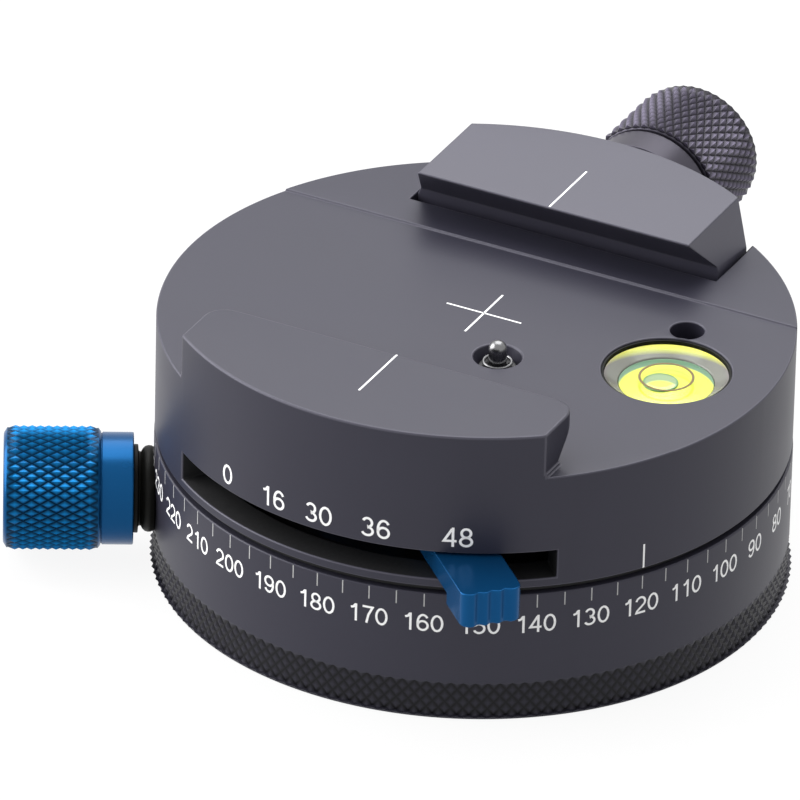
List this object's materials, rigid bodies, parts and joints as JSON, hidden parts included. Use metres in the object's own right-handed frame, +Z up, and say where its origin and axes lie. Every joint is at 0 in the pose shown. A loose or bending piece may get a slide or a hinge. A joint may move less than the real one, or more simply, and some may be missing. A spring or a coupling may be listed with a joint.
{
  "type": "panoramic head",
  "caption": "Round panoramic tripod head with click-stop selector, rotation lock, degree scale, spirit level and a dovetail clamp for camera plates.",
  "frame": {"origin": "on the turning axis, at the underside of the base, where the tripod screw enters", "axes": "+Z up along the turning axis; +X along the clamp jaws; +Y from the fixed jaw to the movable jaw"},
  "size_m": [0.0786, 0.0882, 0.0333],
  "materials": {
    "charcoal_anodised": "satin bead-blasted and anodised charcoal, laser-marked in white",
    "blue_anodised": "turned and anodised blue",
    "bright_steel": "turned steel",
    "spring_steel": "drawn wire",
    "brass": "turned brass",
    "black_rubber": "matte black",
    "white_plastic": "slippery white plastic",
    "level_yellow": "fluorescent yellow-green",
    "clear_acrylic": "clear polished acrylic"
  },
  "bodies": {
    "base": {"base_housing": "charcoal_anodised", "base_plate": "charcoal_anodised", "base_plate_screw_1": "bright_steel", "base_plate_screw_2": "bright_steel", "base_plate_screw_3": "bright_steel", "base_plate_screw_4": "bright_steel", "tripod_bushing": "bright_steel", "index_disc": "bright_steel", "index_disc_screw_1": "bright_steel", "index_disc_screw_2": "bright_steel", "index_disc_screw_3": "bright_steel", "glide_ring": "black_rubber", "lock_seal_ring": "black_rubber"},
    "rotor": {"rotor_body": "charcoal_anodised", "retaining_nut": "brass", "thrust_washer": "white_plastic", "selector_pivot_screw": "bright_steel", "level_base": "level_yellow", "level_fluid": "level_yellow", "level_vial": "clear_acrylic", "pin_sleeve": "bright_steel", "pin_spring": "spring_steel"},
    "selector": {"selector_lever": "blue_anodised", "detent_ball": "bright_steel", "detent_spring": "spring_steel"},
    "jaw": {"movable_jaw": "charcoal_anodised", "guide_pin_left": "bright_steel", "guide_pin_right": "bright_steel", "return_spring_left": "spring_steel", "return_spring_right": "spring_steel"},
    "clamp_screw_and_knob": {"clamp_knob": "charcoal_anodised", "clamp_screw": "bright_steel", "clamp_washer_steel": "bright_steel", "clamp_washer_black": "black_rubber"},
    "lock": {"lock_knob": "blue_anodised", "lock_screw": "bright_steel", "lock_washer": "black_rubber"},
    "brake": {"brake_shoe": "brass"},
    "pin": {"safety_pin": "bright_steel"}
  },
  "joints": [
    {"name": "pan", "type": "hinge", "parent": "base", "child": "rotor", "pos_m": [0, 0, 0.015], "axis": [0, 0, 1], "continuous": true},
    {"name": "selector_turn", "type": "hinge", "parent": "rotor", "child": "selector", "pos_m": [0, -0.0153, 0.018], "axis": [0, 0, 1], "range_deg": [-88, 0]},
    {"name": "jaw_slide", "type": "slide", "parent": "rotor", "child": "jaw", "axis": [0, 1, 0], "range_m": [-0.001, 0.0036]},
    {"name": "clamp_knob_turn", "type": "hinge", "parent": "jaw", "child": "clamp_screw_and_knob", "pos_m": [0, 0.04, 0.0234], "axis": [0, 1, 0], "continuous": true},
    {"name": "lock_knob_turn", "type": "hinge", "parent": "base", "child": "lock", "pos_m": [-0.03521, -0.01898, 0.00745], "axis": [-0.8802, -0.4745, 0], "range_deg": [0, 180]},
    {"name": "brake_shoe_slide", "type": "slide", "parent": "base", "child": "brake", "axis": [-0.8802, -0.4745, 0], "range_m": [0, 0.0004]},
    {"name": "safety_pin_press", "type": "slide", "parent": "rotor", "child": "pin", "axis": [0, 0, -1], "range_m": [0, 0.0018], "stiffness_N_per_m": 300, "deforming": ["pin_spring"]}
  ],
  "couplings": [
    {"joint": "clamp_knob_turn", "follows": "jaw_slide", "rad_per_m": 6283.2},
    {"joint": "lock_knob_turn", "follows": "brake_shoe_slide", "rad_per_m": 7854}
  ]
}
